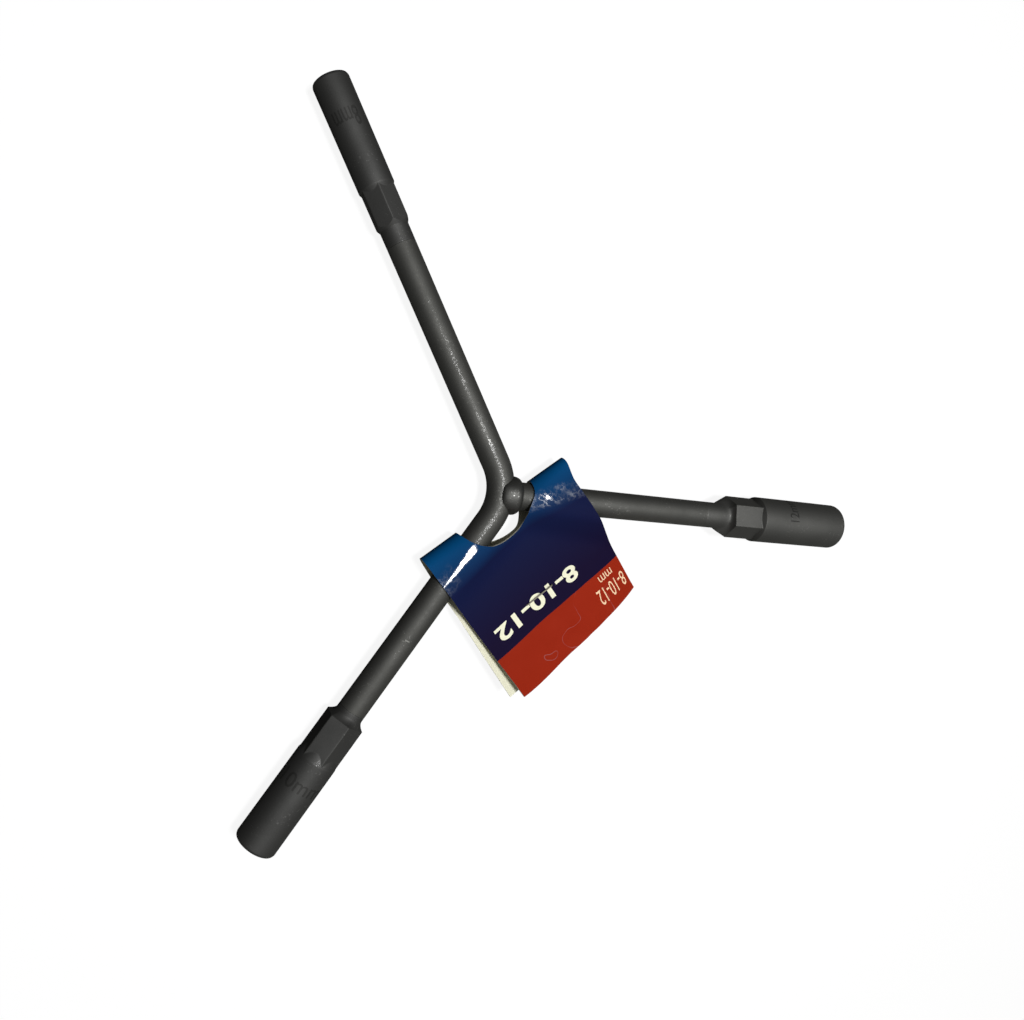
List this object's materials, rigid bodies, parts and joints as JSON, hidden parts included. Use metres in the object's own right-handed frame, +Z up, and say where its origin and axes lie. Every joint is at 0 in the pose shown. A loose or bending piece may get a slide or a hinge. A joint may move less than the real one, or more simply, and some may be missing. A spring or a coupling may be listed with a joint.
{
  "type": "y wrench",
  "caption": "Welded steel Y-shaped wrench with a hexagon socket at the end of each arm, and a folded printed card tag stapled round its middle.",
  "frame": {"origin": "centre of the tool's box, on the table that the three socket barrels rest on", "axes": "+Z up from the table, +Y along the longest side of the box, towards the 8 mm socket, +X along the straight arm with the 12 mm socket"},
  "size_m": [0.225, 0.253, 0.0185],
  "materials": {
    "satin_chrome": "dark satin chrome plating on steel",
    "plated_weld": "weld bead under the same plating, a little rougher",
    "printed_card": "coated card, printed blue and red outside, cream inside",
    "staple_wire": "bright drawn wire"
  },
  "bodies": {
    "wrench": {"bent_rod": "satin_chrome", "straight_rod": "satin_chrome", "weld_collar": "plated_weld", "socket_8mm": "satin_chrome", "socket_10mm": "satin_chrome", "socket_12mm": "satin_chrome"},
    "tag": {"card_tag": "printed_card", "staple": "staple_wire"}
  },
  "joints": [
    {"name": "tag_slide", "type": "slide", "parent": "wrench", "child": "tag", "axis": [-0.5109, 0.8596, -0.0107], "range_m": [0, 0.0028]}
  ]
}
